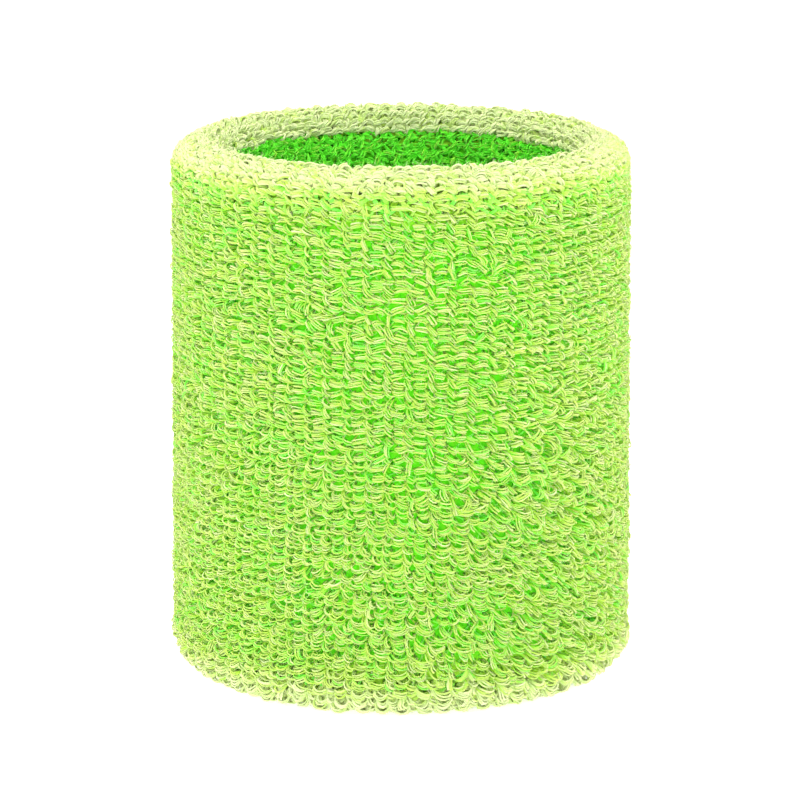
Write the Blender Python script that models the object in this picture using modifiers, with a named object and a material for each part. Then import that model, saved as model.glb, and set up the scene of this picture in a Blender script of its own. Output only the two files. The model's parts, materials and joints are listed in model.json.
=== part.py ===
"""Sweat wristband: one terry-knit tube folded double, so that its loops face out on both sides.

The tube runs from a seam inside the wrist opening, up the inner wall, over the top fold, down the
outer wall, round the bottom fold and back up to the seam. The cloth is modelled by zone and by yarn
system: the pile is the loop layer, the ground is the knit that holds the loops, and one elastic yarn
spirals along the back of the ground, between the two walls. The raw ends are turned in between the
walls and held by an overlock seam.

The origin is the middle of the base, and +Z is the axis of the band.
"""

import math

import bpy

MM = 0.001

# Driving dimensions of the relaxed band.
BAND_HEIGHT = 76.0 * MM
OUTER_RADIUS = 33.0 * MM
WALL_THICKNESS = 7.9 * MM
PILE_DEPTH = 2.0 * MM
GROUND_THICKNESS = 0.75 * MM
REST_FLAT = 2.8 * MM  # width of the flat that each fold is pressed to by standing on it
GAP = 0.3 * MM  # clearance between neighbouring solids

# Seam and elastic.
ALLOWANCE_HEIGHT = 4.0 * MM
ALLOWANCE_THICKNESS = 0.4 * MM  # the turned-in cloth is squeezed thin by the overlock stitches
LOOPER_COIL_RADIUS = 0.55 * MM
LOOPER_THREAD_RADIUS = 0.15 * MM
NEEDLE_THREAD_RADIUS = 0.12 * MM
STITCH_COUNT = 40
ELASTIC_RADIUS = 0.2 * MM
ELASTIC_PITCH = 8.0 * MM
ELASTIC_OFFSET = 0.4 * MM  # from the middle of the wall to the elastic on either wall's back

# Fineness of the solids.
RING_SEGMENTS = 40
WRAP_POINTS = 6
TURN_POINTS = 32
PILE_ARC_STEPS = 4
GROUND_ARC_STEPS = 6

# Places worked out from the dimensions above. Offsets run across the wall, from its middle.
WALL_MIDDLE = OUTER_RADIUS - WALL_THICKNESS / 2
PILE_FACE = WALL_THICKNESS / 2
PILE_BACK = PILE_FACE - PILE_DEPTH
GROUND_FACE = PILE_BACK - GAP
GROUND_BACK = GROUND_FACE - GROUND_THICKNESS
FOLD_RISE = math.sqrt(PILE_FACE**2 - (REST_FLAT / 2) ** 2)
TOP_FOLD_Z = BAND_HEIGHT - FOLD_RISE
BOTTOM_FOLD_Z = FOLD_RISE
SEAM_Z = BAND_HEIGHT / 2
SEAM_OFFSET = -(GROUND_FACE + GROUND_BACK) / 2
SEAM_SLOT = LOOPER_COIL_RADIUS + LOOPER_THREAD_RADIUS + GAP  # from the seam's middle to the cloth
ALLOWANCE_OFFSET = -(GROUND_BACK - GAP)

# Colour, roughness.
PILE_LOOK = ((0.42, 0.80, 0.11, 1.0), 0.95)
GROUND_LOOK = ((0.20, 0.62, 0.05, 1.0), 0.90)
ELASTIC_LOOK = ((0.75, 0.85, 0.55, 1.0), 0.60)
THREAD_LOOK = ((0.36, 0.74, 0.10, 1.0), 0.70)


def clear_scene():
    for obj in list(bpy.data.objects):
        bpy.data.objects.remove(obj, do_unlink=True)


def make_collection(name):
    collection = bpy.data.collections.new(name)
    bpy.context.scene.collection.children.link(collection)
    return collection


def make_material(name, look):
    colour, roughness = look
    material = bpy.data.materials.new(name)
    material.use_nodes = True
    shader = material.node_tree.nodes["Principled BSDF"]
    shader.inputs["Base Color"].default_value = colour
    shader.inputs["Roughness"].default_value = roughness
    shader.inputs["Metallic"].default_value = 0.0
    return material


def add_turned(name, outline, look, collection):
    """A ring turned from a closed outline of (radius, z), which runs down its outer side."""
    mesh = bpy.data.meshes.new(name)
    count = len(outline)
    edges = [(i, (i + 1) % count) for i in range(count)]
    mesh.from_pydata([(radius, 0.0, z) for radius, z in outline], edges, [])
    mesh.materials.append(make_material(name, look))
    ring = bpy.data.objects.new(name, mesh)
    collection.objects.link(ring)
    screw = ring.modifiers.new("turn", "SCREW")
    screw.angle = 2 * math.pi
    screw.steps = RING_SEGMENTS
    screw.render_steps = RING_SEGMENTS
    screw.use_smooth_shade = True
    screw.use_merge_vertices = True
    screw.merge_threshold = 0.00005
    return ring


def add_yarn(name, points, radius, look, collection, closed):
    """A round yarn along the points, closed into a ring or capped at its ends."""
    curve = bpy.data.curves.new(name, "CURVE")
    curve.dimensions = "3D"
    curve.bevel_depth = radius
    curve.bevel_resolution = 0
    curve.use_fill_caps = not closed
    curve.materials.append(make_material(name, look))
    spline = curve.splines.new("POLY")
    spline.points.add(len(points) - 1)
    for spline_point, point in zip(spline.points, points):
        spline_point.co = (*point, 1.0)
    spline.use_cyclic_u = closed
    spline.use_smooth = True
    yarn = bpy.data.objects.new(name, curve)
    collection.objects.link(yarn)
    return yarn


def wall_outline(face, back, low, high):
    """A straight layer between two offsets across the wall, from height low to high."""
    outer, inner = max(face, back), min(face, back)
    return [
        (WALL_MIDDLE + outer, high),
        (WALL_MIDDLE + outer, low),
        (WALL_MIDDLE + inner, low),
        (WALL_MIDDLE + inner, high),
    ]


def arc_points(radius, angles):
    return [(WALL_MIDDLE + radius * math.cos(a), radius * math.sin(a)) for a in angles]


def spread(start, end, steps):
    return [start + (end - start) * i / steps for i in range(steps + 1)]


def fold_section(face, back, steps, flat):
    """Half of a round layer about the wall's middle: (radius, height above the fold's centre).

    The outer arc runs from the wrist side over the crest to the outside, with the crest cut flat
    where flat is above zero, and the inner arc runs back.
    """
    if flat > 0:
        flat_angle = math.acos(flat / 2 / face)
        crest = spread(math.pi, math.pi - flat_angle, steps) + spread(flat_angle, 0.0, steps)
    else:
        crest = spread(math.pi, 0.0, steps)
    hollow = spread(0.0, math.pi, steps)
    return arc_points(face, crest) + arc_points(back, hollow)


def top_fold_outline(section):
    return [(radius, TOP_FOLD_Z + rise) for radius, rise in section]


def bottom_fold_outline(section):
    return [(radius, BOTTOM_FOLD_Z - rise) for radius, rise in reversed(section)]


def ring_points(radius, z, count):
    turns = [2 * math.pi * i / count for i in range(count)]
    return [(radius * math.cos(a), radius * math.sin(a), z) for a in turns]


def wrapped_ring_points(radius, z, wrap_radius, wraps, points_per_wrap):
    """A thread that winds about a ring: wraps turns in one trip round it."""
    points = []
    for i in range(wraps * points_per_wrap):
        wrap = 2 * math.pi * i / points_per_wrap
        around = wrap / wraps
        reach = radius + wrap_radius * math.cos(wrap)
        points.append(
            (reach * math.cos(around), reach * math.sin(around), z + wrap_radius * math.sin(wrap))
        )
    return points


def elastic_place(travel, start_z):
    """Offset across the wall and height of the elastic after this much travel along the tube."""
    up = TOP_FOLD_Z - start_z
    bend = math.pi * ELASTIC_OFFSET
    down = TOP_FOLD_Z - BOTTOM_FOLD_Z
    if travel < up:
        return -ELASTIC_OFFSET, start_z + travel
    travel -= up
    if travel < bend:
        angle = math.pi - travel / ELASTIC_OFFSET
        return ELASTIC_OFFSET * math.cos(angle), TOP_FOLD_Z + ELASTIC_OFFSET * math.sin(angle)
    travel -= bend
    if travel < down:
        return ELASTIC_OFFSET, TOP_FOLD_Z - travel
    travel -= down
    if travel < bend:
        angle = -travel / ELASTIC_OFFSET
        return ELASTIC_OFFSET * math.cos(angle), BOTTOM_FOLD_Z + ELASTIC_OFFSET * math.sin(angle)
    return -ELASTIC_OFFSET, BOTTOM_FOLD_Z + travel - bend


def elastic_points():
    """The one elastic yarn, from above the seam round the whole tube to below the seam."""
    clear_of_seam = SEAM_SLOT + ALLOWANCE_HEIGHT + GAP + ELASTIC_RADIUS
    start_z = SEAM_Z + clear_of_seam
    end_z = SEAM_Z - clear_of_seam
    bends = 2 * math.pi * ELASTIC_OFFSET
    length = (TOP_FOLD_Z - start_z) + (TOP_FOLD_Z - BOTTOM_FOLD_Z) + (end_z - BOTTOM_FOLD_Z) + bends
    count = round(length / ELASTIC_PITCH * TURN_POINTS)
    points = []
    for i in range(count + 1):
        travel = length * i / count
        offset, z = elastic_place(travel, start_z)
        around = 2 * math.pi * travel / ELASTIC_PITCH
        reach = WALL_MIDDLE + offset
        points.append((reach * math.cos(around), reach * math.sin(around), z))
    return points


def add_outer_wall(collection):
    low = BOTTOM_FOLD_Z + GAP
    high = TOP_FOLD_Z - GAP
    pile = wall_outline(PILE_FACE, PILE_BACK, low, high)
    ground = wall_outline(GROUND_FACE, GROUND_BACK, low, high)
    add_turned("outer_wall_pile", pile, PILE_LOOK, collection)
    add_turned("outer_wall_ground", ground, GROUND_LOOK, collection)


def add_folds(collection):
    pile = fold_section(PILE_FACE, PILE_BACK, PILE_ARC_STEPS, REST_FLAT)
    ground = fold_section(GROUND_FACE, GROUND_BACK, GROUND_ARC_STEPS, 0.0)
    add_turned("top_fold_pile", top_fold_outline(pile), PILE_LOOK, collection)
    add_turned("top_fold_ground", top_fold_outline(ground), GROUND_LOOK, collection)
    add_turned("bottom_fold_pile", bottom_fold_outline(pile), PILE_LOOK, collection)
    add_turned("bottom_fold_ground", bottom_fold_outline(ground), GROUND_LOOK, collection)


def add_inner_wall(collection):
    halves = {
        "upper": (SEAM_Z + SEAM_SLOT, TOP_FOLD_Z - GAP),
        "lower": (BOTTOM_FOLD_Z + GAP, SEAM_Z - SEAM_SLOT),
    }
    for half, (low, high) in halves.items():
        pile = wall_outline(-PILE_FACE, -PILE_BACK, low, high)
        ground = wall_outline(-GROUND_FACE, -GROUND_BACK, low, high)
        add_turned(f"inner_wall_pile_{half}", pile, PILE_LOOK, collection)
        add_turned(f"inner_wall_ground_{half}", ground, GROUND_LOOK, collection)


def add_seam(collection):
    allowances = {
        "upper": (SEAM_Z + SEAM_SLOT, SEAM_Z + SEAM_SLOT + ALLOWANCE_HEIGHT),
        "lower": (SEAM_Z - SEAM_SLOT - ALLOWANCE_HEIGHT, SEAM_Z - SEAM_SLOT),
    }
    for half, (low, high) in allowances.items():
        outline = wall_outline(ALLOWANCE_OFFSET, ALLOWANCE_OFFSET + ALLOWANCE_THICKNESS, low, high)
        add_turned(f"seam_allowance_{half}", outline, GROUND_LOOK, collection)
    seam_radius = WALL_MIDDLE + SEAM_OFFSET
    needle = ring_points(seam_radius, SEAM_Z, RING_SEGMENTS)
    looper = wrapped_ring_points(seam_radius, SEAM_Z, LOOPER_COIL_RADIUS, STITCH_COUNT, WRAP_POINTS)
    add_yarn("seam_needle_thread", needle, NEEDLE_THREAD_RADIUS, THREAD_LOOK, collection, True)
    add_yarn("seam_looper_thread", looper, LOOPER_THREAD_RADIUS, THREAD_LOOK, collection, True)


def add_elastic(collection):
    add_yarn("elastic_yarn", elastic_points(), ELASTIC_RADIUS, ELASTIC_LOOK, collection, False)


def main():
    clear_scene()
    wristband = make_collection("sweat_wristband")
    add_outer_wall(wristband)
    add_folds(wristband)
    add_inner_wall(wristband)
    add_seam(wristband)
    add_elastic(wristband)


main()
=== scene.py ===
"""Looks of the sweat wristband: terry loops standing course by course on a folded ground cloth.

The cloth is one strip. It runs from the seam up the inner wall, over the top fold, down the outer
wall, round the bottom fold and back up to the seam. A place on it has a turn (radians about the
band's axis), a travel (metres along the strip, from the seam) and a height (metres above the face of
the ground cloth, towards the tips of the loops).
"""

import json
import math

import bpy
import numpy as np
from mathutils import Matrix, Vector


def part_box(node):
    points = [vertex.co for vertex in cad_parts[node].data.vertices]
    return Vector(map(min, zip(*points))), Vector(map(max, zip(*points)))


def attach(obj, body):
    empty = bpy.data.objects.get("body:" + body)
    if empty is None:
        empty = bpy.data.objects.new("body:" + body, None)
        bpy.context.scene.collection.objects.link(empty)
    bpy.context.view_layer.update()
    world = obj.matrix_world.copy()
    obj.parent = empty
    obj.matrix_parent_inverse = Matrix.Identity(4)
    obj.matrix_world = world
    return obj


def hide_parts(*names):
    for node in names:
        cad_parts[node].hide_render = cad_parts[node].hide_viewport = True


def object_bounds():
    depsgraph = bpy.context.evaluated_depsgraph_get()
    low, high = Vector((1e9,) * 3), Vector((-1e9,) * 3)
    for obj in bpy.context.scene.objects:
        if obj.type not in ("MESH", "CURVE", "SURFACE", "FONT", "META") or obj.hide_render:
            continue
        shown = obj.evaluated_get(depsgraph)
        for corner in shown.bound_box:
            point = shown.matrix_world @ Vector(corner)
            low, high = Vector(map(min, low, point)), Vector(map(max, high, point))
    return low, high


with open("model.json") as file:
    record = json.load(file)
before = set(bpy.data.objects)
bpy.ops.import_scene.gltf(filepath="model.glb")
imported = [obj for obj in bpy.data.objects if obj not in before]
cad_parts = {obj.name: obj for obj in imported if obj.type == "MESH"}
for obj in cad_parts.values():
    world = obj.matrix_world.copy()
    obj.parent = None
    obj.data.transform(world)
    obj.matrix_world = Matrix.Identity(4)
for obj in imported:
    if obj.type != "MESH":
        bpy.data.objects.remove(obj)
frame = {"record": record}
cad_low, cad_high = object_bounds()

MM = 0.001
BODY = "root"
BAKE_UV = "OFBake"

# ---------------------------------------------------------------- places read from the frame
BAND_HEIGHT = cad_high.z
OUTER_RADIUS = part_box("outer_wall_pile")[1].x
WALL_MIDDLE = next(m["pos_m"][0] for m in frame["record"]["mounts"] if m["name"] == "base_rest")
PILE_FACE = OUTER_RADIUS - WALL_MIDDLE
GROUND_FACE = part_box("outer_wall_ground")[1].x - WALL_MIDDLE
GROUND_BACK = WALL_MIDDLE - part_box("inner_wall_ground_upper")[1].x
PILE_HEIGHT = PILE_FACE - GROUND_FACE
HOLE_RADIUS = WALL_MIDDLE - PILE_FACE
TOP_FOLD_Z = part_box("top_fold_pile")[0].z
BOTTOM_FOLD_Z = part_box("bottom_fold_pile")[1].z
SEAM_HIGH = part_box("inner_wall_pile_upper")[0].z
SEAM_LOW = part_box("inner_wall_pile_lower")[1].z
SEAM_Z = (SEAM_HIGH + SEAM_LOW) / 2
ALLOWANCE_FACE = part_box("seam_allowance_upper")[1].x - WALL_MIDDLE
ALLOWANCE_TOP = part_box("seam_allowance_upper")[1].z

# ---------------------------------------------------------------- the knit
COLUMNS = 144  # columns of loops round the band: level ones and slanting ones by turns
WANTED_COURSE = 1.28 * MM  # height of one row of loops, before a whole number of rows is fitted
FOLD_RADIUS = PILE_FACE  # travel round a fold is measured at the tips of the loops
FLARE = 0.19  # the pile stands this share prouder at the foot of the band, and lower at its top
YARN_RADIUS = 0.098 * MM
STRAND_SPACING = 0.29 * MM
FIBRE_RADIUS = 0.018 * MM
FIBRE_LENGTHS = (0.2, 0.6)  # of each half of a fibre, in millimetres
FIBRES_PER_MM2 = 3.2
INSIDE_FIBRES = 0.3  # share of those that the inner wall has
SEED = 76

# How far the lines of loops stray: round the band in columns, and along the strip in courses.
DRIFT, FINE_DRIFT = 0.30, 0.20
WANDER = 0.20
# Loops hang slack below the first share of the band's height and stand taut above the second.
SLACK_BELOW, TAUT_ABOVE = 0.36, 0.60
# Disorder of the loops: everywhere, more in tangled patches, and more again low on the right.
MESS, TANGLED_MESS, LOW_RIGHT_MESS = 0.20, 0.38, 0.30
CURLED_SHARE = 0.025  # share of the loops that lie at any angle up to the next number, in radians
MOST_CURL = 1.6

# Strands of one loop: how far each strays, and the share of their spacing that four of them have.
PLACE_STRAY = 0.05 * MM
SLIDE_STRAY = 0.10 * MM
WAVE = 0.05 * MM
CROWDED = 0.86

# On a fold, within the first number of courses from its middle, the yarn is fuller to close the
# gaps where loops spread apart. Past the second number it is as on the walls.
FOLD_FULL, FOLD_FADED = 4.5, 7.0
FOLD_FULLNESS = 0.50  # how much thicker the strands are there
FOLD_PADDING = 1.15  # how much thicker the bridges between loops are there
INSIDE_PADDING = 0.80  # and on the inner wall
MOST_RAISED = 1.65  # thicker bridges also stand higher, up to this many times
FOLD_SINK = 0.04  # how much lower the loops stand there
SCALLOP = 0.14  # under the band, level loops reach further and slanting ones less far by this share
BRIDGE_THICKNESS = 1.5  # in yarns
CROSSED_FROM = 0.3  # a second bridge crosses the first where this share of the fullness is reached

# The two threads of the seam, and the elastic yarn between the walls: all of them hidden.
LOOPER_WRAPS = 116
LOOPER_RADIUS = 0.13 * MM
NEEDLE_RADIUS = 0.12 * MM
ELASTIC_RADIUS = 0.2 * MM
ELASTIC_PITCH = 8 * MM

# Shades of the yarn from deep to pale, each a strip of the UV map.
SHADE_STRIPS = 64
PLAIN_SHADE = 0.4  # where the plain shade stands between the deepest and the palest
# The inner wall's deeper strips are painted shade, for the inside of the band.
WALL_SHADE, INSIDE_PAINTED_SHADE = 0.43, 0.04
FOLD_PAINTED_LIGHT = 0.52  # painted light: how much paler the folds are than the walls
SHADE_SPREAD = 0.17
BRIDGE_PAINTED_SHADE = 14  # strips by which the low yarn between loops is deeper than its loop: painted shade
SEAM_STRIP = 26  # strip of the looper thread and of the elastic's cover
NEEDLE_STRIP = 30

FOLD_TRAVEL = math.pi * FOLD_RADIUS
INNER_UPPER_TRAVEL = TOP_FOLD_Z - SEAM_HIGH
OUTER_TRAVEL = TOP_FOLD_Z - BOTTOM_FOLD_Z
INNER_LOWER_TRAVEL = SEAM_LOW - BOTTOM_FOLD_Z
ZONE_TRAVELS = (INNER_UPPER_TRAVEL, FOLD_TRAVEL, OUTER_TRAVEL, FOLD_TRAVEL, INNER_LOWER_TRAVEL)
ZONE_ENDS = np.cumsum(ZONE_TRAVELS)
COURSES = round(ZONE_ENDS[-1] / WANTED_COURSE)
COURSE = ZONE_ENDS[-1] / COURSES

# One loop, foot to foot: (columns across, courses along, share of the pile height).
# Taut loops: a level head, and beside it a bundle that slants down to the right.
TAUT_LEVEL = np.array([
    (-0.48, 0.14, 0.00), (-0.60, 0.02, 0.62), (-0.44, -0.07, 0.92), (-0.15, -0.12, 1.00),
    (0.15, -0.10, 1.00), (0.44, -0.02, 0.92), (0.60, 0.10, 0.62), (0.48, 0.24, 0.00),
])  # fmt: skip
TAUT_SLANT = np.array([
    (-0.30, -0.55, 0.00), (-0.38, -0.44, 0.55), (-0.28, -0.24, 0.86), (-0.10, -0.02, 0.96),
    (0.10, 0.19, 0.96), (0.28, 0.40, 0.85), (0.38, 0.56, 0.52), (0.34, 0.70, 0.00),
])  # fmt: skip
# Slack loops: a smile that sags between its ends, and beside it a bundle that curves down.
SLACK_LEVEL = np.array([
    (-0.56, -0.26, 0.00), (-0.67, -0.20, 0.58), (-0.50, 0.00, 0.91), (-0.19, 0.13, 1.00),
    (0.15, 0.15, 1.00), (0.47, 0.05, 0.92), (0.65, -0.11, 0.60), (0.55, -0.18, 0.00),
])  # fmt: skip
SLACK_SLANT = np.array([
    (-0.38, -0.62, 0.00), (-0.44, -0.48, 0.52), (-0.36, -0.20, 0.86), (-0.20, 0.06, 0.98),
    (0.02, 0.25, 0.98), (0.26, 0.36, 0.90), (0.42, 0.36, 0.58), (0.42, 0.30, 0.00),
])  # fmt: skip
# A low bridge of yarn between the feet of neighbours, seen in the gaps: (millimetres across,
# share of the pile height).
BRIDGE = np.array([(-0.95, 0.05), (-0.60, 0.32), (0.0, 0.42), (0.60, 0.32), (0.95, 0.05)])


def smoothstep(x, low, high):
    t = np.clip((x - low) / (high - low), 0.0, 1.0)
    return t * t * (3 - 2 * t)


def strip_place(travel, height):
    """Offset across the wall from its middle, and z, of places on the strip."""
    reach = GROUND_FACE + height
    ends = ZONE_ENDS
    top_angle = math.pi - (travel - ends[0]) / FOLD_RADIUS
    bottom_angle = -(travel - ends[2]) / FOLD_RADIUS
    zones = [travel < ends[0], travel < ends[1], travel < ends[2], travel < ends[3]]
    offset = np.select(
        zones,
        [-reach, reach * np.cos(top_angle), reach, reach * np.cos(bottom_angle)],
        -reach,
    )
    z = np.select(
        zones,
        [
            SEAM_HIGH + travel,
            TOP_FOLD_Z + reach * np.sin(top_angle),
            TOP_FOLD_Z - (travel - ends[1]),
            BOTTOM_FOLD_Z + reach * np.sin(bottom_angle),
        ],
        BOTTOM_FOLD_Z + (travel - ends[3]),
    )
    return offset, z


def settle(z):
    """Loops under the band are pressed flat by its weight, and their paths stay above the floor."""
    soft = 0.8 * MM
    return np.where(z < soft, soft * np.exp(np.minimum(z / soft - 1, 0)), z)


def strip_points(turn, travel, height):
    """World points of places on the strip."""
    offset, z = strip_place(travel, height)
    radius = WALL_MIDDLE + offset
    return np.stack([radius * np.cos(turn), radius * np.sin(turn), settle(z)], axis=-1)


def smooth_field(rng, around_cells, along_cells):
    """A smooth random field over the loops, between -1 and 1, that meets itself round the band."""
    values = rng.uniform(-1, 1, (along_cells + 1, around_cells))
    along = np.linspace(0, along_cells, COURSES, endpoint=False)[:, None]
    around = np.linspace(0, around_cells, COLUMNS, endpoint=False)[None, :]
    row = along.astype(int)
    column = around.astype(int)
    row_share = smoothstep(along - row, 0, 1)
    column_share = smoothstep(around - column, 0, 1)
    after = (column + 1) % around_cells
    near = values[row, column] * (1 - column_share) + values[row, after] * column_share
    far = values[row + 1, column] * (1 - column_share) + values[row + 1, after] * column_share
    return near * (1 - row_share) + far * row_share


# ---------------------------------------------------------------- the pile
class Pile:
    """Every loop of the band: where it stands, how it hangs and leans, and its shade."""

    def __init__(self):
        rng = np.random.default_rng(SEED)
        self.shape = (COURSES, COLUMNS)
        self.place_loops(rng)
        self.hang_loops(rng)
        self.draw_strands(rng)
        self.fill_folds()
        self.shade_strands(rng)

    def place_loops(self, rng):
        """Loops in a grid, round the band and along the strip, that drift a little off their lines."""
        course = np.arange(COURSES)[:, None] + np.zeros(self.shape)
        column = np.arange(COLUMNS)[None, :] + np.zeros(self.shape)
        drift = DRIFT * smooth_field(rng, 12, 20) + FINE_DRIFT * smooth_field(rng, 36, 50)
        self.level = column % 2 == 0
        self.travel = (course + 0.5 + WANDER * smooth_field(rng, 16, 30)) * COURSE
        self.turn = 2 * math.pi * (column + drift) / COLUMNS
        offset, z = strip_place(self.travel, np.full(self.shape, PILE_HEIGHT))
        self.band_height = z / BAND_HEIGHT
        self.outside = offset > 0
        self.downward = np.where(self.outside, 1.0, -1.0)
        on_fold = (self.travel > ZONE_ENDS[0]) & (self.travel < ZONE_ENDS[1])
        on_fold |= (self.travel > ZONE_ENDS[2]) & (self.travel < ZONE_ENDS[3])
        self.on_fold = on_fold
        self.shown = self.outside | on_fold

    def hang_loops(self, rng):
        """How slack each loop is, and how far it leans, shifts, stretches and rises."""
        height = self.band_height
        hang = 1 - smoothstep(height + 0.16 * smooth_field(rng, 12, 22), SLACK_BELOW, TAUT_ABOVE)
        self.slack = np.clip(hang + 0.30 * smooth_field(rng, 30, 50), 0.0, 1.1)
        self.slack += rng.normal(0, 0.16, self.shape)
        tangled = smoothstep(smooth_field(rng, 14, 26), 0.0, 0.8)
        on_right = smoothstep(np.cos(self.turn), -0.1, 0.4)
        low_right = on_right * (1 - smoothstep(height, 0.40, 0.62))
        mess = MESS + TANGLED_MESS * tangled + LOW_RIGHT_MESS * low_right
        self.lean = rng.normal(0, 1, self.shape) * (0.08 + 0.50 * mess)
        self.shift = rng.normal(0, 1, (*self.shape, 2)) * (0.04 + 0.20 * mess)[..., None]
        self.stretch = 1 + rng.normal(0, 1, (*self.shape, 2)) * (0.08 + 0.16 * mess)[..., None]
        self.rise = 1 + rng.normal(0, 0.03, self.shape) + 0.03 * smooth_field(rng, 40, 60)
        curled = rng.random(self.shape) < CURLED_SHARE
        self.lean = np.where(curled, rng.uniform(-MOST_CURL, MOST_CURL, self.shape), self.lean)

    def draw_strands(self, rng):
        """How many strands each loop has, and how each strand and bridge differs from the rest."""
        many = rng.random(self.shape)
        self.jitter = rng.normal(0, 1, (*self.shape, 4, 4))
        self.bridge = rng.uniform(-1, 1, (*self.shape, 4))
        level_strands = 3 + (many > 0.75 - 0.4 * self.slack)
        shown_strands = np.where(self.level, level_strands, 2 + (many > 0.25))
        inner_strands = np.where(self.level, 2 + (many > 0.4), 2)
        self.strands = np.where(self.shown, shown_strands, inner_strands)

    def fill_folds(self):
        """Fuller strands and more yarn between them on the folds, where the loops spread apart."""
        past_top = np.abs(self.travel - (ZONE_ENDS[0] + ZONE_ENDS[1]) / 2)
        past_bottom = np.abs(self.travel - (ZONE_ENDS[2] + ZONE_ENDS[3]) / 2)
        past = np.minimum(past_top, past_bottom)
        self.near_fold = 1 - smoothstep(past, FOLD_FULL * COURSE, FOLD_FADED * COURSE)
        self.near_fold *= self.shown
        self.fullness = 1 + FOLD_FULLNESS * self.near_fold
        self.padding = 1 + FOLD_PADDING * self.near_fold + INSIDE_PADDING * ~self.shown
        flare = self.outside * FLARE * (1 - 2 * self.band_height)
        self.rise += flare - FOLD_SINK * self.near_fold
        self.rise += SCALLOP * (past_bottom < 5 * COURSE) * np.where(self.level, 1, -1)

    def shade_strands(self, rng):
        """A strip of the yarn's shades for each strand, spread at random: painted light makes the folds
        paler, painted shade makes the inside deeper.
        """
        # Painted light on the folds: the top and bottom rows of the outer wall, and the inner side of the
        # folds.
        over_top = smoothstep(self.band_height, 0.95, 0.99) * self.outside
        under = (1 - smoothstep(self.band_height, 0.015, 0.08)) * self.outside
        fold = np.maximum(over_top + under, self.on_fold & ~self.outside)
        pale = np.where(self.shown, WALL_SHADE, INSIDE_PAINTED_SHADE) + FOLD_PAINTED_LIGHT * fold
        pale = pale[..., None] + rng.normal(0, SHADE_SPREAD, (*self.shape, 4))
        self.strip = np.clip(pale * SHADE_STRIPS, 0, SHADE_STRIPS - 1).astype(int)


def loop_weights(count):
    """Catmull-Rom weights that turn a loop's control points into count points along it."""
    controls = len(TAUT_LEVEL)
    weights = np.zeros((count, controls))
    for i, t in enumerate(np.linspace(0, controls - 1, count)):
        k = min(int(t), controls - 2)
        f = t - k
        blend = (
            (-0.5 * f + f**2 - 0.5 * f**3),
            (1 - 2.5 * f**2 + 1.5 * f**3),
            (0.5 * f + 2 * f**2 - 1.5 * f**3),
            (-0.5 * f**2 + 0.5 * f**3),
        )
        for j, share in enumerate(blend):
            weights[i, min(max(k - 1 + j, 0), controls - 1)] += share
    return weights


def strand_paths(pile, chosen, points):
    """Paths of the strands of the chosen loops, with each one's shade strip and thickness."""
    loops = np.repeat(np.flatnonzero(chosen), pile.strands[chosen])
    first = np.concatenate([[True], loops[1:] != loops[:-1]])
    order = np.arange(len(loops))
    rank = order - np.maximum.accumulate(np.where(first, order, 0))

    def of_loop(values):
        return values.reshape(-1, *values.shape[2:])[loops]

    slack = of_loop(pile.slack)[:, None, None]
    level = of_loop(pile.level)[:, None, None]
    taut_loop = np.where(level, TAUT_LEVEL, TAUT_SLANT)
    slack_loop = np.where(level, SLACK_LEVEL, SLACK_SLANT)
    controls = taut_loop * (1 - slack) + slack_loop * slack
    path = np.einsum("pc,ncx->npx", loop_weights(points), controls)
    column_width = 2 * math.pi * np.where(of_loop(pile.outside), OUTER_RADIUS, HOLE_RADIUS) / COLUMNS
    column_width = column_width[:, None]
    stretch = of_loop(pile.stretch)
    across = path[..., 0] * column_width * stretch[:, :1]
    along = path[..., 1] * COURSE * stretch[:, 1:]
    height = np.clip(path[..., 2], 0, None) * PILE_HEIGHT * of_loop(pile.rise)[:, None]

    # Strands of one loop lie side by side, closer at its feet, and no two are quite alike.
    count = of_loop(pile.strands)
    jitter = of_loop(pile.jitter)[np.arange(len(loops)), rank]
    from_middle = rank - (count - 1) / 2
    place = from_middle * STRAND_SPACING * np.where(count > 3, CROWDED, 1.0)
    place = place + PLACE_STRAY * jitter[:, 0]
    chord = np.stack([across[:, -1] - across[:, 0], along[:, -1] - along[:, 0]], axis=-1)
    chord /= np.linalg.norm(chord, axis=-1, keepdims=True) + 1e-9
    slide = SLIDE_STRAY * jitter[:, 1]
    fan = 0.25 + 0.75 * smoothstep(path[..., 2], 0.2, 0.9)
    across = across - chord[:, 1:] * place[:, None] * fan + chord[:, :1] * slide[:, None]
    along = along + chord[:, :1] * place[:, None] * fan + chord[:, 1:] * slide[:, None]
    share = np.linspace(0, 1, points)[None, :]
    wave = np.sin(2 * math.pi * (share * (1 + 0.3 * jitter[:, 1:2]) + jitter[:, 2:3]))
    along = along + WAVE * wave
    height = height * (1 - 0.03 * np.abs(from_middle) + 0.045 * jitter[:, 3])[:, None]

    lean = of_loop(pile.lean)[:, None]
    turned_across = across * np.cos(lean) - along * np.sin(lean)
    turned_along = across * np.sin(lean) + along * np.cos(lean)
    shift = of_loop(pile.shift)
    columns_off = turned_across / column_width + shift[:, :1]
    turn = of_loop(pile.turn)[:, None] + columns_off * (2 * math.pi / COLUMNS)
    downward = of_loop(pile.downward)[:, None]
    travel = of_loop(pile.travel)[:, None] + downward * (turned_along + shift[:, 1:] * COURSE)
    strips = of_loop(pile.strip)[np.arange(len(loops)), rank]
    radii = YARN_RADIUS * (1 + 0.12 * jitter[:, 2]) * of_loop(pile.fullness)
    return strip_points(turn, travel, height), radii, strips


def unit(vectors):
    return vectors / (np.linalg.norm(vectors, axis=-1, keepdims=True) + 1e-12)


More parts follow.
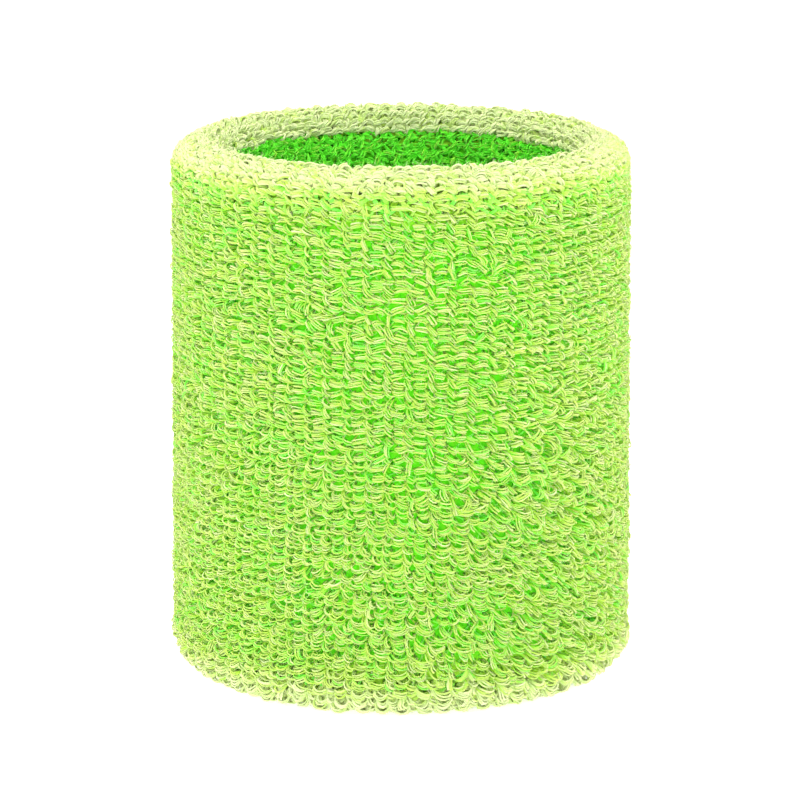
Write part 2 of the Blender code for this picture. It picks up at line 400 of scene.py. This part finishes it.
def tube_frames(paths, closed):
    """A normal and a binormal along each path, carried from one point to the next."""
    if closed:
        tangents = unit(np.roll(paths, -1, axis=1) - np.roll(paths, 1, axis=1))
    else:
        tangents = unit(np.gradient(paths, axis=1))
    start = paths[:, 0]
    around = np.stack([-start[:, 1], start[:, 0], np.zeros(len(start))], axis=-1)
    normal = unit(np.cross(tangents[:, 0], unit(around) + 0.01))
    normals = []
    for i in range(paths.shape[1]):
        tangent = tangents[:, i]
        normal = unit(normal - tangent * np.sum(normal * tangent, axis=-1, keepdims=True))
        normals.append(normal)
    normals = np.stack(normals, axis=1)
    return normals, np.cross(tangents, normals)


def bridge_paths(pile, chosen, crossing=False):
    """Low strands between the loops, one for each, lying whichever way they fell.

    A second set, crossing the first, closes the gaps on the folds and on the inner wall.
    """
    bridge = pile.bridge[chosen]
    heading = bridge[:, 0] * 1.2 + crossing * math.pi / 2
    across = BRIDGE[None, :, 0] * MM * (1 + 0.25 * bridge[:, 1:2])
    column_width = 2 * math.pi * WALL_MIDDLE / COLUMNS
    side = across * np.cos(heading)[:, None] / column_width + 0.5 * (bridge[:, 2:3] + crossing)
    turn = pile.turn[chosen][:, None] + side * (2 * math.pi / COLUMNS)
    drop = across * np.sin(heading)[:, None] + 0.5 * COURSE * (bridge[:, 3:4] + crossing)
    travel = pile.travel[chosen][:, None] + drop
    padding = pile.padding[chosen]
    raised = np.minimum(padding, MOST_RAISED)[:, None] * (1 + 0.12 * bridge[:, 3:4])
    height = BRIDGE[None, :, 1] * PILE_HEIGHT * raised
    # Painted shade: the low yarn between loops takes a deeper strip.
    strips = np.maximum(pile.strip[chosen][:, 0] - BRIDGE_PAINTED_SHADE, 0)
    return strip_points(turn, travel, height), BRIDGE_THICKNESS * YARN_RADIUS * padding, strips


def fibre_arrays(paths, area_mm2, rng):
    """Loose fibres that stand out of the heads of the loops, each bent once and drawn to a point."""
    count = int(area_mm2 * FIBRES_PER_MM2)
    strand = rng.integers(0, len(paths), count)
    last = paths.shape[1] - 1
    place = rng.uniform(0.25, 0.75, count) * last
    low = place.astype(int)
    share = (place - low)[:, None]
    start = paths[strand, low] * (1 - share) + paths[strand, low + 1] * share
    feet = (paths[strand, 0] + paths[strand, last]) / 2
    outward = unit(start - feet)
    stray = unit(outward + 0.8 * rng.normal(0, 1, (count, 3)))
    bend = unit(stray + 0.9 * rng.normal(0, 1, (count, 3)))
    length = rng.uniform(*FIBRE_LENGTHS, count)[:, None] * MM
    middle = start + stray * length
    tip = middle + bend * length
    side = unit(np.cross(stray, bend) + 1e-6)
    other = np.cross(stray, side)
    corners_of_ring = [
        (math.cos(angle) * side + math.sin(angle) * other) * FIBRE_RADIUS
        for angle in (0.0, 2 * math.pi / 3, 4 * math.pi / 3)
    ]
    rings = [centre + corner for centre in (start, middle) for corner in corners_of_ring]
    vertices = np.stack([*rings, tip], axis=1)
    vertices[..., 2] = np.maximum(vertices[..., 2], 0.05 * MM)
    faces = ((0, 2, 1), (0, 1, 4, 3), (1, 2, 5, 4), (2, 0, 3, 5), (3, 4, 6), (4, 5, 6), (5, 3, 6))
    base = 7 * np.arange(count)[:, None]
    corners = np.concatenate([(base + np.array(face)).ravel() for face in faces])
    counts = np.concatenate([np.full(count, len(face)) for face in faces])
    # Fibres take nearly the palest strip: a painted highlight, the haze of light caught by the fuzz.
    uv = (0.5, (SHADE_STRIPS - 2.5) / SHADE_STRIPS)
    return vertices.reshape(-1, 3), corners, counts, np.tile(uv, (len(corners), 1))


def tube_arrays(paths, radii, strips, sides, closed=False):
    """Round strands along the paths. Each takes one strip of the UV map, foot at 0 and foot at 1."""
    count, points = paths.shape[:2]
    normals, binormals = tube_frames(paths, closed)
    angle = np.linspace(0, 2 * math.pi, sides, endpoint=False)
    ring = (
        normals[:, :, None, :] * np.cos(angle)[:, None]
        + binormals[:, :, None, :] * np.sin(angle)[:, None]
    )
    vertices = paths[:, :, None, :] + ring * radii[:, None, None, None]
    index = np.arange(count * points * sides).reshape(count, points, sides)
    step = np.arange(points if closed else points - 1)
    after = (step + 1) % points
    side = np.arange(sides)
    next_side = (side + 1) % sides
    quads = np.stack(
        [
            index[:, step][:, :, side],
            index[:, step][:, :, next_side],
            index[:, after][:, :, next_side],
            index[:, after][:, :, side],
        ],
        axis=-1,
    )
    low = step / (points if closed else points - 1)
    high = (step + 1) / (points if closed else points - 1)
    u = np.broadcast_to(np.stack([low, low, high, high], axis=-1)[None, :, None, :], quads.shape)
    within = 0.06 + 0.88 * np.stack([side, side + 1, side + 1, side], axis=-1) / sides
    v = (strips[:, None, None, None] + within[None, None]) / SHADE_STRIPS
    v = np.broadcast_to(v, quads.shape)
    corners = [quads.ravel()]
    counts = [np.full(quads.size // 4, 4)]
    uvs = [np.stack([u.ravel(), v.ravel()], axis=-1)]
    if not closed:
        for end, ring_order, place in ((0, side[::-1], 0.001), (points - 1, side, 0.999)):
            caps = index[:, end][:, ring_order]
            corners.append(caps.ravel())
            counts.append(np.full(count, sides))
            cap_v = np.repeat((strips + 0.5) / SHADE_STRIPS, sides)
            uvs.append(np.stack([np.full(caps.size, place), cap_v], axis=-1))
    return vertices.reshape(-1, 3), np.concatenate(corners), np.concatenate(counts), np.concatenate(uvs)


def make_mesh(name, parts):
    """One smooth mesh from parts: vertices, polygons' corners, how many each has, and a UV per corner."""
    vertices = np.concatenate([part[0] for part in parts])
    before = np.concatenate([[0], np.cumsum([len(part[0]) for part in parts])[:-1]])
    corners = np.concatenate([part[1] + first for part, first in zip(parts, before)])
    counts = np.concatenate([part[2] for part in parts])
    uvs = np.concatenate([part[3] for part in parts])
    mesh = bpy.data.meshes.new(name)
    mesh.vertices.add(len(vertices))
    mesh.vertices.foreach_set("co", vertices.astype(np.float32).ravel())
    mesh.loops.add(len(corners))
    mesh.loops.foreach_set("vertex_index", corners.astype(np.int32))
    mesh.polygons.add(len(counts))
    starts = np.concatenate([[0], np.cumsum(counts)[:-1]])
    mesh.polygons.foreach_set("loop_start", starts.astype(np.int32))
    layer = mesh.uv_layers.new(name=BAKE_UV)
    layer.uv.foreach_set("vector", uvs.astype(np.float32).ravel())
    mesh.update(calc_edges=True)
    mesh.shade_smooth()
    obj = bpy.data.objects.new(name, mesh)
    bpy.context.scene.collection.objects.link(obj)
    return obj


# ---------------------------------------------------------------- materials
PALE_FEET = 0.70  # how much of a pale loop's paleness its feet have; the rest, on the head, is a painted highlight


def new_material(name):
    material = bpy.data.materials.new(name)
    material.use_nodes = True
    tree = material.node_tree
    return material, tree, tree.nodes["Principled BSDF"]


def math_node(tree, operation, first, second=None, clamp=False):
    node = tree.nodes.new("ShaderNodeMath")
    node.operation = operation
    node.use_clamp = clamp
    for socket, value in zip(node.inputs, (first, second)):
        if value is None:
            continue
        if isinstance(value, (int, float)):
            socket.default_value = value
        else:
            tree.links.new(value, socket)
    return node.outputs[0]


def ramp_node(tree, factor, stops):
    node = tree.nodes.new("ShaderNodeValToRGB")
    ramp = node.color_ramp
    while len(ramp.elements) < len(stops):
        ramp.elements.new(0.5)
    for element, (position, colour) in zip(ramp.elements, stops):
        element.position = position
        element.color = (*colour, 1.0)
    tree.links.new(factor, node.inputs[0])
    return node.outputs[0]


def mix_colours(tree, factor, first, second, blend="MIX"):
    node = tree.nodes.new("ShaderNodeMix")
    node.data_type = "RGBA"
    node.blend_type = blend
    for socket, value in ((node.inputs[0], factor), (node.inputs[6], first), (node.inputs[7], second)):
        if isinstance(value, (int, float)):
            socket.default_value = value
        elif isinstance(value, tuple):
            socket.default_value = (*value, 1.0)
        else:
            tree.links.new(value, socket)
    return node.outputs[2]


def noise_node(tree, vector, scale, detail=2.0, roughness=0.5):
    node = tree.nodes.new("ShaderNodeTexNoise")
    node.inputs["Scale"].default_value = scale
    node.inputs["Detail"].default_value = detail
    node.inputs["Roughness"].default_value = roughness
    tree.links.new(vector, node.inputs["Vector"])
    return node.outputs[0]


def strip_coordinates(tree):
    """Along the strand from 0 to 1, round it and its strip, from the UV map."""
    uv = tree.nodes.new("ShaderNodeUVMap")
    uv.uv_map = BAKE_UV
    parts = tree.nodes.new("ShaderNodeSeparateXYZ")
    tree.links.new(uv.outputs[0], parts.inputs[0])
    scaled = math_node(tree, "MULTIPLY", parts.outputs[1], float(SHADE_STRIPS))
    strip = math_node(tree, "FLOOR", scaled)
    around = math_node(tree, "FRACT", scaled)
    return parts.outputs[0], around, strip


def random_of(tree, strip, salt):
    node = tree.nodes.new("ShaderNodeTexWhiteNoise")
    node.noise_dimensions = "1D"
    tree.links.new(math_node(tree, "ADD", strip, salt), node.inputs["W"])
    return node.outputs["Value"]


def yarn_material(name, deep, root, middle, tip, pale, twists, sheen):
    """Soft spun yarn: two plies twisted together. Its colour is deeper, more saturated green at its feet,
    painted shade and green light bounced between the loops, and paler at its head, a painted highlight.
    """
    material, tree, shader = new_material(name)
    along, around, strip = strip_coordinates(tree)
    from_middle = math_node(tree, "ABSOLUTE", math_node(tree, "SUBTRACT", along, 0.5))
    head = math_node(tree, "SUBTRACT", 1.0, math_node(tree, "MULTIPLY", from_middle, 2.0))
    body = ramp_node(tree, head, [(0.0, root), (0.34, middle), (0.75, tip)])
    share = math_node(tree, "DIVIDE", strip, float(SHADE_STRIPS))
    shade = math_node(tree, "MULTIPLY", share, 1 / PLAIN_SHADE, clamp=True)
    colour = mix_colours(tree, shade, deep, body)
    above = math_node(tree, "SUBTRACT", share, PLAIN_SHADE)
    lighter = math_node(tree, "MULTIPLY", above, 1 / (1 - PLAIN_SHADE), clamp=True)
    towards_head = math_node(tree, "ADD", math_node(tree, "MULTIPLY", head, 1 - PALE_FEET), PALE_FEET)
    colour = mix_colours(tree, math_node(tree, "MULTIPLY", lighter, towards_head), colour, pale)
    # Twist of the two plies, slanting round the strand.
    lay = math_node(tree, "ADD", math_node(tree, "MULTIPLY", along, twists), around)
    lay = math_node(tree, "ADD", lay, random_of(tree, strip, 11.0))
    swing = math_node(tree, "SINE", math_node(tree, "MULTIPLY", lay, 2 * math.pi))
    ply = math_node(tree, "ABSOLUTE", swing)
    # Painted shade: the groove between the plies is darker.
    painted_groove_shade = mix_colours(tree, 1.0, colour, (0.80, 0.92, 0.62), "MULTIPLY")
    colour = mix_colours(tree, math_node(tree, "MULTIPLY", ply, 0.22), painted_groove_shade, colour)
    # Fibres run nearly along the strand.
    place = tree.nodes.new("ShaderNodeCombineXYZ")
    tree.links.new(math_node(tree, "MULTIPLY", along, 14.0), place.inputs[0])
    tree.links.new(math_node(tree, "MULTIPLY", lay, 9.0), place.inputs[1])
    tree.links.new(math_node(tree, "MULTIPLY", strip, 7.3), place.inputs[2])
    fibre = noise_node(tree, place.outputs[0], 1.0, 3.0, 0.6)
    # Paler fibre streaks, strongest on the head: random tone of the fibres, with a painted highlight on
    # the head.
    fibre_share = math_node(tree, "MULTIPLY", math_node(tree, "MULTIPLY", fibre, 0.3), head)
    colour = mix_colours(tree, fibre_share, colour, pale)
    tree.links.new(colour, shader.inputs["Base Color"])
    relief = math_node(tree, "ADD", ply, math_node(tree, "MULTIPLY", fibre, 0.6))
    bump = tree.nodes.new("ShaderNodeBump")
    bump.inputs["Strength"].default_value = 0.5
    bump.inputs["Distance"].default_value = 0.03 * MM
    tree.links.new(relief, bump.inputs["Height"])
    tree.links.new(bump.outputs[0], shader.inputs["Normal"])
    rough = math_node(tree, "ADD", math_node(tree, "MULTIPLY", fibre, 0.25), 0.72)
    tree.links.new(rough, shader.inputs["Roughness"])
    shader.inputs["Diffuse Roughness"].default_value = 1.0
    shader.inputs["Sheen Weight"].default_value = sheen
    shader.inputs["Sheen Roughness"].default_value = 0.5
    shader.inputs["Sheen Tint"].default_value = (1.0, 0.78, 0.55, 1.0)
    shader.inputs["Specular IOR Level"].default_value = 0.1
    return material


def ground_material():
    """Plain knit seen from its face: each wale a column of small slanting V stitches."""
    material, tree, shader = new_material("ground_knit_cloth")
    uv = tree.nodes.new("ShaderNodeUVMap")
    uv.uv_map = BAKE_UV
    parts = tree.nodes.new("ShaderNodeSeparateXYZ")
    tree.links.new(uv.outputs[0], parts.inputs[0])
    across = math_node(tree, "FRACT", math_node(tree, "MULTIPLY", parts.outputs[0], COLUMNS / 2))
    fold = math_node(tree, "ABSOLUTE", math_node(tree, "SUBTRACT", across, 0.5))
    rows = math_node(tree, "MULTIPLY", parts.outputs[1], float(COURSES))
    slant = math_node(tree, "ADD", rows, math_node(tree, "MULTIPLY", fold, 1.6))
    swing = math_node(tree, "SINE", math_node(tree, "MULTIPLY", slant, math.pi))
    stitch = math_node(tree, "ABSOLUTE", swing)
    rib = math_node(tree, "SINE", math_node(tree, "MULTIPLY", fold, 2 * math.pi))
    relief = math_node(tree, "MULTIPLY", stitch, math_node(tree, "ABSOLUTE", rib))
    # Deeper green where the stitches lie low, lighter on their raised parts: painted shade.
    colour = ramp_node(
        tree, relief, [(0.0, (0.12, 0.96, 0.005)), (0.5, (0.16, 0.96, 0.008)), (1.0, (0.24, 0.96, 0.015))]
    )
    fibre = noise_node(tree, uv.outputs[0], 900.0, 3.0, 0.6)
    colour = mix_colours(tree, math_node(tree, "MULTIPLY", fibre, 0.25), colour, (0.26, 0.76, 0.06))
    # Under the loops of the two folds the cloth is painted paler and yellower: painted light, as on the
    # folds' loops.
    end_share = (ALLOWANCE_TOP - SEAM_Z) / ground_midline()[1][-1]
    top_share = end_share + (ZONE_ENDS[0] + ZONE_ENDS[1]) / 2 / ZONE_ENDS[-1] * (1 - 2 * end_share)
    from_middle = math_node(tree, "ABSOLUTE", math_node(tree, "SUBTRACT", parts.outputs[1], 0.5))
    from_fold = math_node(tree, "ABSOLUTE", math_node(tree, "SUBTRACT", from_middle, 0.5 - top_share))
    on_fold = ramp_node(
        tree, from_fold, [(0.0, (0.8, 0.8, 0.8)), (0.026, (0.7, 0.7, 0.7)), (0.04, (0.0, 0.0, 0.0))]
    )
    colour = mix_colours(tree, on_fold, colour, (0.62, 0.96, 0.06))
    tree.links.new(colour, shader.inputs["Base Color"])
    bump = tree.nodes.new("ShaderNodeBump")
    bump.inputs["Strength"].default_value = 0.8
    bump.inputs["Distance"].default_value = 0.15 * MM
    grain = math_node(tree, "MULTIPLY", fibre, 0.3)
    tree.links.new(math_node(tree, "ADD", relief, grain), bump.inputs["Height"])
    tree.links.new(bump.outputs[0], shader.inputs["Normal"])
    rough = math_node(tree, "ADD", math_node(tree, "MULTIPLY", fibre, 0.2), 0.78)
    tree.links.new(rough, shader.inputs["Roughness"])
    shader.inputs["Sheen Weight"].default_value = 0.2
    shader.inputs["Specular IOR Level"].default_value = 0.1
    return material


# ---------------------------------------------------------------- pieces
def add_piece(obj, material, slot, *nodes):
    obj.data.materials.append(material)
    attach(obj, BODY)
    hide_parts(*nodes)


def pile_pieces(pile, terry, inside_shaded_terry):
    """The loops of each zone in sectors, small enough to handle one by one."""
    middle_of_outer = (ZONE_ENDS[1] + ZONE_ENDS[2]) / 2
    rng = np.random.default_rng(SEED + 1)
    # Name of its pieces, travel from and to, sectors, sides and points of a strand, node it replaces.
    zones = (
        ("inner_loops_upper", 0.0, ZONE_ENDS[0], 4, (3, 6), "inner_wall_pile_upper"),
        ("top_rim_loops", ZONE_ENDS[0], ZONE_ENDS[1], 4, (4, 8), "top_fold_pile"),
        ("outer_loops_upper", ZONE_ENDS[1], middle_of_outer, 8, (4, 8), "outer_wall_pile"),
        ("outer_loops_lower", middle_of_outer, ZONE_ENDS[2], 8, (4, 8), "outer_wall_pile"),
        ("bottom_rim_loops", ZONE_ENDS[2], ZONE_ENDS[3], 4, (4, 8), "bottom_fold_pile"),
        ("inner_loops_lower", ZONE_ENDS[3], ZONE_ENDS[4], 4, (3, 6), "inner_wall_pile_lower"),
    )
    course_travel = (np.arange(COURSES) + 0.5) * COURSE
    column = np.arange(COLUMNS)
    for name, start, end, sectors, (sides, points), node in zones:
        in_zone = (course_travel >= start) & (course_travel < end)
        is_inner = name.startswith("inner")
        radius = HOLE_RADIUS if is_inner else OUTER_RADIUS
        area_mm2 = 2 * math.pi * radius * (end - start) / sectors / MM**2
        area_mm2 *= INSIDE_FIBRES if is_inner else 1.0
        material = inside_shaded_terry if is_inner else terry
        for sector in range(sectors):
            in_sector = column * sectors // COLUMNS == sector
            chosen = in_zone[:, None] & in_sector[None, :]
            paths, radii, strips = strand_paths(pile, chosen, points)
            filled = chosen & ((pile.near_fold > CROSSED_FROM) | ~pile.outside)
            parts = [
                tube_arrays(paths, radii, strips, sides),
                tube_arrays(*bridge_paths(pile, chosen), 3),
                tube_arrays(*bridge_paths(pile, filled, crossing=True), 3),
                fibre_arrays(paths, area_mm2, rng),
            ]
            add_piece(make_mesh(f"{name}_{sector + 1}", parts), material, "terry_pile", node)


def line_points(start, end, count):
    share = np.linspace(0, 1, count, endpoint=False)[:, None]
    return np.array(start) * (1 - share) + np.array(end) * share


def arc_points(centre, radius, start, end, count):
    angle = np.linspace(start, end, count, endpoint=False)
    return np.stack([centre[0] + radius * np.cos(angle), centre[1] + radius * np.sin(angle)], axis=-1)


def ground_midline():
    """Middle of the ground cloth's thickness as (offset, z), from raw end to raw end, and its length."""
    middle = (GROUND_FACE + GROUND_BACK) / 2
    tucked = ALLOWANCE_FACE - (ALLOWANCE_FACE + GROUND_BACK) / 2 * 0.6
    bend = (middle + tucked) / 2
    centre = tucked - bend
    high, low = SEAM_HIGH + 2 * bend, SEAM_LOW - 2 * bend
    lowest = 2 * SEAM_Z - ALLOWANCE_TOP
    points = np.concatenate([
        line_points((tucked, ALLOWANCE_TOP), (tucked, high), 6),
        arc_points((centre, high), bend, 0, -math.pi, 8),
        line_points((-middle, high), (-middle, TOP_FOLD_Z), 26),
        arc_points((0, TOP_FOLD_Z), middle, math.pi, 0, 12),
        line_points((middle, TOP_FOLD_Z), (middle, BOTTOM_FOLD_Z), 50),
        arc_points((0, BOTTOM_FOLD_Z), middle, 0, -math.pi, 12),
        line_points((-middle, BOTTOM_FOLD_Z), (-middle, low), 26),
        arc_points((centre, low), bend, math.pi, 0, 8),
        line_points((tucked, low), (tucked, lowest), 6),
        np.array([(tucked, lowest)]),
    ])  # fmt: skip
    steps = np.linalg.norm(np.diff(points, axis=0), axis=1)
    return points, np.concatenate([[0], np.cumsum(steps)])


def ground_cloth(material):
    """The ground knit: one strip of cloth folded double, both raw ends turned in at the seam."""
    midline, run = ground_midline()
    count = len(midline)
    around = COLUMNS * 3 // 2
    tangent = unit(np.gradient(midline, axis=0))
    across = np.stack([-tangent[:, 1], tangent[:, 0]], axis=-1)
    full = (GROUND_FACE - GROUND_BACK) / 2
    from_end = np.minimum(run, run[-1] - run)
    half = full * (0.5 + 0.5 * smoothstep(from_end, 4 * MM, 6 * MM))
    section = np.concatenate([midline + across * half[:, None], (midline - across * half[:, None])[::-1]])
    section_run = np.concatenate([run, run[::-1]]) / run[-1]
    total = 2 * count
    turn = np.linspace(0, 2 * math.pi, around, endpoint=False)
    radius = WALL_MIDDLE + section[:, 0]
    vertices = np.stack(
        [
            radius[None] * np.cos(turn)[:, None],
            radius[None] * np.sin(turn)[:, None],
            np.broadcast_to(section[:, 1][None], (around, total)),
        ],
        axis=-1,
    )
    index = np.arange(around * total).reshape(around, total)
    here, after = np.arange(around), (np.arange(around) + 1) % around
    low, high = np.arange(total), (np.arange(total) + 1) % total
    quads = np.stack(
        [index[here][:, low], index[here][:, high], index[after][:, high], index[after][:, low]], axis=-1
    )
    u = np.stack([here, here, here + 1, here + 1], axis=-1)[:, None, :] / around
    run_low, run_high = section_run[low], section_run[high]
    v = np.stack([run_low, run_high, run_high, run_low], axis=-1)[None]
    u, v = np.broadcast_to(u, quads.shape), np.broadcast_to(v, quads.shape)
    corner_counts = np.full(quads.size // 4, 4)
    uvs = np.stack([u.ravel(), v.ravel()], axis=-1)
    obj = make_mesh("ground_cloth", [(vertices.reshape(-1, 3), quads.ravel(), corner_counts, uvs)])
    nodes = [f"{zone}_ground" for zone in ("outer_wall", "top_fold", "bottom_fold")]
    nodes += [f"inner_wall_ground_{part}" for part in ("upper", "lower")]
    nodes += [f"seam_allowance_{part}" for part in ("upper", "lower")]
    add_piece(obj, material, "ground_knit", *nodes)


def ring_path(radius, z, count):
    turn = np.linspace(0, 2 * math.pi, count, endpoint=False)
    return np.stack([radius * np.cos(turn), radius * np.sin(turn), np.full(count, z)], axis=-1)[None]


def seam_threads(material):
    """The closing seam: a needle thread round the join, and a looper thread that wraps both edges."""
    low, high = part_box("seam_looper_thread")
    radius = WALL_MIDDLE - (GROUND_FACE + GROUND_BACK) / 2
    reach = (high.z - low.z) / 2
    points_of_wrap = 12
    wrap = 2 * math.pi * np.arange(LOOPER_WRAPS * points_of_wrap) / points_of_wrap
    turn = wrap / LOOPER_WRAPS
    slack = 1 + 0.06 * np.sin(turn * 17) + 0.04 * np.sin(turn * 31 + 1)
    wrap_radius = radius + 0.8 * reach * np.cos(wrap)
    wrap_z = SEAM_Z + 1.7 * reach * slack * np.sin(wrap)
    path = np.stack([wrap_radius * np.cos(turn), wrap_radius * np.sin(turn), wrap_z], axis=-1)[None]
    looper = tube_arrays(path, np.array([LOOPER_RADIUS]), np.array([SEAM_STRIP]), 8, closed=True)
    add_piece(make_mesh("seam_looper_stitches", [looper]), material, "seam_thread", "seam_looper_thread")
    ring = ring_path(radius, SEAM_Z, 240)
    needle = tube_arrays(ring, np.array([NEEDLE_RADIUS]), np.array([NEEDLE_STRIP]), 8, closed=True)
    add_piece(make_mesh("seam_needle_stitches", [needle]), material, "seam_thread", "seam_needle_thread")


def elastic(material):
    """The elastic yarn, one spiral on the backs of the two walls."""
    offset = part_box("elastic_yarn")[1].x - ELASTIC_RADIUS - WALL_MIDDLE
    start = ALLOWANCE_TOP + 0.5 * MM
    end = 2 * SEAM_Z - start
    bend = math.pi * offset
    up, down = TOP_FOLD_Z - start, TOP_FOLD_Z - BOTTOM_FOLD_Z
    length = up + bend + down + bend + end - BOTTOM_FOLD_Z
    travel = np.linspace(0, length, round(length / ELASTIC_PITCH * 72))
    top = math.pi - (travel - up) / offset
    bottom = -(travel - up - bend - down) / offset
    zones = [travel < up, travel < up + bend, travel < up + bend + down, travel < up + 2 * bend + down]
    across = np.select(zones, [-offset, offset * np.cos(top), offset, offset * np.cos(bottom)], -offset)
    z = np.select(
        zones,
        [
            start + travel,
            TOP_FOLD_Z + offset * np.sin(top),
            TOP_FOLD_Z - (travel - up - bend),
            BOTTOM_FOLD_Z + offset * np.sin(bottom),
        ],
        BOTTOM_FOLD_Z + (travel - up - 2 * bend - down),
    )
    turn = 2 * math.pi * travel / ELASTIC_PITCH
    reach = WALL_MIDDLE + across
    path = np.stack([reach * np.cos(turn), reach * np.sin(turn), z], axis=-1)[None]
    spiral = tube_arrays(path, np.array([ELASTIC_RADIUS]), np.array([SEAM_STRIP]), 8)
    add_piece(make_mesh("elastic_spiral", [spiral]), material, "elastic_yarn", "elastic_yarn")


# ---------------------------------------------------------------- studio
SURROUND_LIGHT = 0.40  # light from all round, beside a backdrop seen as plain white
FLOOR_GLOW = 0.62  # the floor is lit from below too, so the shadow on it is faint
FLOOR_REACH = 3.0
CAMERA_ELEVATION = math.radians(13.7)
CAMERA_DISTANCE = 13.8 * OUTER_RADIUS
CAMERA_LENS = 141.3

WHITE = (1.0, 1.0, 1.0)
WARM = (1.0, 0.88, 0.92)  # the lamps on either side are a little warmer than the rest
MIDDLE = (0.0, 0.0, BAND_HEIGHT / 2)
BACK_OF_OPENING = (0.0, 0.02, BAND_HEIGHT)
# Name, place, aim, width and height, watts, colour.
LAMPS = (
    ("front", (0.0, -0.85, 0.24), MIDDLE, (0.4, 0.4), 4.0, WHITE),
    ("front_left", (-0.35, -0.55, 0.60), MIDDLE, (0.5, 0.5), 0.3, WHITE),
    ("left_edge", (-0.60, 0.25, 0.25), MIDDLE, (0.3, 0.6), 4.4, WARM),
    ("right_edge", (0.60, 0.25, 0.25), MIDDLE, (0.3, 0.6), 4.4, WARM),
    ("top", (0.0, 0.15, 0.80), MIDDLE, (0.6, 0.6), 0.9, WHITE),
    ("opening", (0.0, -0.16, 0.45), BACK_OF_OPENING, (0.2, 0.2), 1.6, WHITE),
)


def add_floor():
    corners = [(x * FLOOR_REACH, y * FLOOR_REACH, 0) for x, y in ((-1, -1), (1, -1), (1, 1), (-1, 1))]
    floor_mesh = bpy.data.meshes.new("floor")
    floor_mesh.from_pydata(corners, [], [(0, 1, 2, 3)])
    floor = bpy.data.objects.new("floor", floor_mesh)
    bpy.context.scene.collection.objects.link(floor)
    material, _, shader = new_material("pale_floor")
    shader.inputs["Base Color"].default_value = (0.96, 0.96, 0.96, 1.0)
    shader.inputs["Roughness"].default_value = 0.9
    shader.inputs["Emission Color"].default_value = (1.0, 1.0, 1.0, 1.0)
    shader.inputs["Emission Strength"].default_value = FLOOR_GLOW
    floor_mesh.materials.append(material)


def add_lamps():
    for name, place, aim, size, power, colour in LAMPS:
        data = bpy.data.lights.new(name, "AREA")
        data.shape = "RECTANGLE"
        data.size, data.size_y = size
        data.energy = power
        data.color = colour
        lamp = bpy.data.objects.new(name, data)
        bpy.context.scene.collection.objects.link(lamp)
        lamp.location = place
        lamp.rotation_euler = (Vector(aim) - Vector(place)).to_track_quat("-Z", "Y").to_euler()


def add_surround():
    """Even light from all round. The camera sees it at full strength, as a white backdrop."""
    world = bpy.data.worlds.new("studio")
    world.use_nodes = True
    tree = world.node_tree
    background = tree.nodes["Background"]
    background.inputs["Color"].default_value = (1.0, 1.0, 1.0, 1.0)
    seen = tree.nodes.new("ShaderNodeLightPath").outputs["Is Camera Ray"]
    seen_share = math_node(tree, "MULTIPLY", seen, 1.0 - SURROUND_LIGHT)
    strength = math_node(tree, "ADD", seen_share, SURROUND_LIGHT)
    tree.links.new(strength, background.inputs["Strength"])
    bpy.context.scene.world = world


def add_camera():
    """The camera looks down a little at the band, from the photograph's side."""
    data = bpy.data.cameras.new("camera")
    data.lens = CAMERA_LENS
    data.sensor_width = 36.0
    data.clip_start = 0.01
    data.clip_end = 20.0
    camera = bpy.data.objects.new("camera", data)
    bpy.context.scene.collection.objects.link(camera)
    back = Vector((0, -math.cos(CAMERA_ELEVATION), math.sin(CAMERA_ELEVATION)))
    camera.location = Vector(MIDDLE) + back * CAMERA_DISTANCE
    aim = Vector(MIDDLE) + Vector((-0.15 * MM, 0, -0.9 * MM))
    camera.rotation_euler = (aim - camera.location).to_track_quat("-Z", "Y").to_euler()
    bpy.context.scene.camera = camera
    bpy.context.scene.view_settings.view_transform = "Standard"


def main():
    add_camera()
    add_lamps()
    add_surround()
    add_floor()
    terry = yarn_material(
        "terry_yarn",
        deep=(0.13, 0.97, 0.006),
        root=(0.50, 0.97, 0.004),
        middle=(0.53, 0.85, 0.009),
        tip=(0.53, 0.71, 0.05),
        pale=(0.79, 0.81, 0.58),
        twists=7.0,
        sheen=0.44,
    )
    # The same yarn inside the band, with deeper green colours and less sheen: painted shade, with green
    # light bounced within the band.
    inside_shaded_terry = yarn_material(
        "terry_yarn_painted_shade_inside",
        deep=(0.12, 0.985, 0.005),
        root=(0.20, 0.97, 0.006),
        middle=(0.36, 0.93, 0.012),
        tip=(0.46, 0.88, 0.05),
        pale=(0.70, 0.90, 0.36),
        twists=7.0,
        sheen=0.12,
    )
    thread = yarn_material(
        "seam_thread_twist",
        deep=(0.30, 0.76, 0.06),
        root=(0.36, 0.80, 0.08),
        middle=(0.40, 0.84, 0.10),
        tip=(0.44, 0.86, 0.12),
        pale=(0.60, 0.92, 0.28),
        twists=400.0,
        sheen=0.05,
    )
    covered = yarn_material(
        "elastic_cover",
        deep=(0.60, 0.76, 0.36),
        root=(0.66, 0.80, 0.42),
        middle=(0.70, 0.84, 0.46),
        tip=(0.72, 0.85, 0.48),
        pale=(0.86, 0.92, 0.70),
        twists=2400.0,
        sheen=0.05,
    )
    pile_pieces(Pile(), terry, inside_shaded_terry)
    ground_cloth(ground_material())
    seam_threads(thread)
    elastic(covered)


main()
